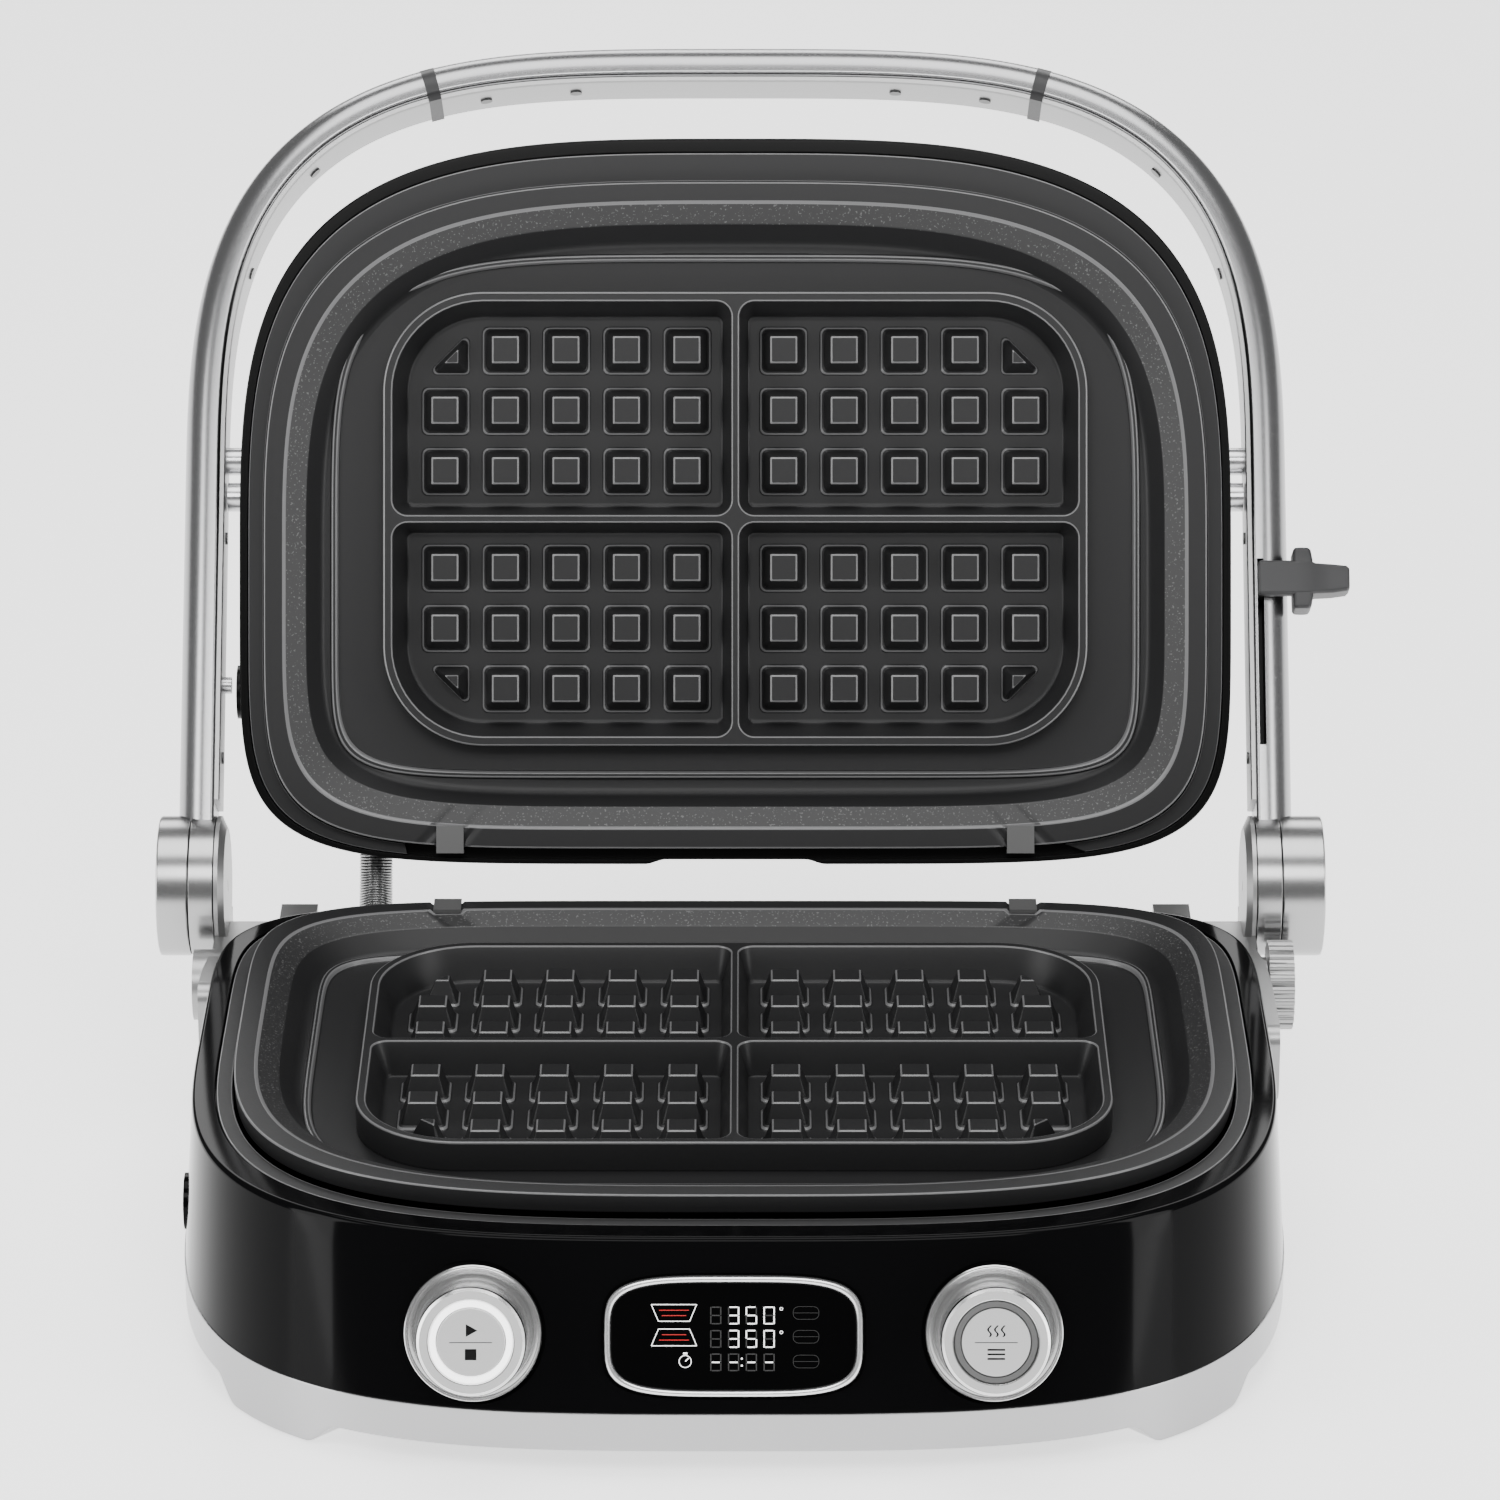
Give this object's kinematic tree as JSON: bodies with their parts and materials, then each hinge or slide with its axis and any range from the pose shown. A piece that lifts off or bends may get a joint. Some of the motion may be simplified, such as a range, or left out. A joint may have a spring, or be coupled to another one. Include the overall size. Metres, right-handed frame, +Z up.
{
  "type": "waffle maker",
  "caption": "Open contact waffle maker with two patterned plates, a bowed metal handle, a hinged lid that opens flat, a front display and push-button dials.",
  "frame": {"origin": "on the table, straight below the middle of the waffle mould", "axes": "+X to the right seen from the front, +Y to the back, +Z up; the front with the dials faces -Y"},
  "size_m": [0.3924, 0.4483, 0.3155],
  "materials": {
    "gloss_black": "glossy",
    "satin_black": "satin",
    "black_plastic": "matte",
    "dark_plastic": "satin",
    "silver_paint": "satin silver",
    "cast_silver": "satin die-cast",
    "handle_metal": "satin",
    "handle_strip": "satin",
    "barrel_metal": "turned satin",
    "knob_metal": "turned satin",
    "polished_trim": "polished",
    "brushed_cover": "brushed",
    "nonstick": "dark non-stick coating",
    "ring_grey": "satin dark grey",
    "screen": "glossy",
    "light_on": "lit",
    "light_off": "glossy",
    "board_green": "matte",
    "rubber": "matte",
    "steel": "satin",
    "heater_steel": "matte",
    "bright_sheet": "bright",
    "conduit_steel": "bright"
  },
  "bodies": {
    "base": {"base_housing": "gloss_black", "base_band": "silver_paint", "bottom_cover": "black_plastic", "foot_pads": "rubber", "base_screws": "steel", "lower_ring": "ring_grey", "lower_plate": "nonstick", "lower_element": "heater_steel", "lower_reflector": "bright_sheet", "lower_clips": "steel", "hinge_bracket_left": "cast_silver", "hinge_bracket_right": "cast_silver", "hinge_pins": "steel", "display_bezel": "polished_trim", "display_lens": "screen", "display_board": "board_green", "knob_skirts": "knob_metal", "encoders": "black_plastic", "power_board": "board_green", "base_posts": "steel", "cord_inlet": "rubber", "conduit_gland_base": "steel", "conduit": "conduit_steel", "lower_sensor": "steel"},
    "handle": {"arm_left": "handle_metal", "arm_right": "handle_metal", "grip": "handle_metal", "grip_rings": "dark_plastic", "arm_strip_left": "handle_strip", "arm_strip_right": "handle_strip", "grip_strip": "handle_strip", "strip_screws": "steel", "hinge_cap_left": "barrel_metal", "hinge_cap_right": "barrel_metal", "pivot_pins": "steel", "guide_stud": "steel"},
    "lid": {"lid_rim": "satin_black", "lid_cover": "brushed_cover", "lid_ring": "ring_grey", "upper_plate": "nonstick", "upper_element": "heater_steel", "upper_reflector": "bright_sheet", "upper_clips": "steel", "upper_sensor": "steel", "stop_pins": "steel", "conduit_gland_lid": "steel", "lid_posts": "steel"},
    "height_lever": {"height_lever": "dark_plastic"},
    "release_lever": {"release_lever": "cast_silver"},
    "knob_left": {"knob_cap_left": "knob_metal", "knob_ring_left": "light_on"},
    "knob_right": {"knob_cap_right": "knob_metal", "knob_ring_right": "light_off"},
    "button_left": {"knob_button_left": "knob_metal"},
    "button_right": {"knob_button_right": "knob_metal"},
    "lower_release": {"lower_release_button": "gloss_black"},
    "upper_release": {"upper_release_button": "satin_black"}
  },
  "joints": [
    {"name": "handle_hinge", "type": "hinge", "parent": "base", "child": "handle", "pos_m": [0, 0.121, 0.076], "axis": [1, 0, 0], "range_deg": [-67.8, 112.2], "deforming": ["conduit"]},
    {"name": "lid_tilt", "type": "hinge", "parent": "handle", "child": "lid", "pos_m": [0, 0.20326, 0.1948], "axis": [1, 0, 0], "range_deg": [-1.2, 1.2]},
    {"name": "height_lever_slide", "type": "slide", "parent": "handle", "child": "height_lever", "axis": [0, -0.5693, -0.8221], "range_m": [0, 0.048]},
    {"name": "release_lever_turn", "type": "hinge", "parent": "base", "child": "release_lever", "pos_m": [0.177, 0.086, 0.056], "axis": [1, 0, 0], "range_deg": [0, 25], "stiffness_Nm_per_rad": 0.2},
    {"name": "knob_left_turn", "type": "hinge", "parent": "base", "child": "knob_left", "pos_m": [-0.0771, -0.13622, 0.04306], "axis": [0, -0.9539, 0.3002], "continuous": true},
    {"name": "knob_right_turn", "type": "hinge", "parent": "base", "child": "knob_right", "pos_m": [0.0771, -0.13622, 0.04306], "axis": [0, -0.9539, 0.3002], "continuous": true},
    {"name": "button_left_push", "type": "slide", "parent": "knob_left", "child": "button_left", "axis": [0, 0.9539, -0.3002], "range_m": [0, 0.001], "stiffness_N_per_m": 800},
    {"name": "button_right_push", "type": "slide", "parent": "knob_right", "child": "button_right", "axis": [0, 0.9539, -0.3002], "range_m": [0, 0.001], "stiffness_N_per_m": 800},
    {"name": "lower_release_push", "type": "slide", "parent": "base", "child": "lower_release", "axis": [1, 0, 0], "range_m": [0, 0.002], "stiffness_N_per_m": 800},
    {"name": "upper_release_push", "type": "slide", "parent": "lid", "child": "upper_release", "axis": [1, 0, 0], "range_m": [0, 0.0015], "stiffness_N_per_m": 800}
  ]
}
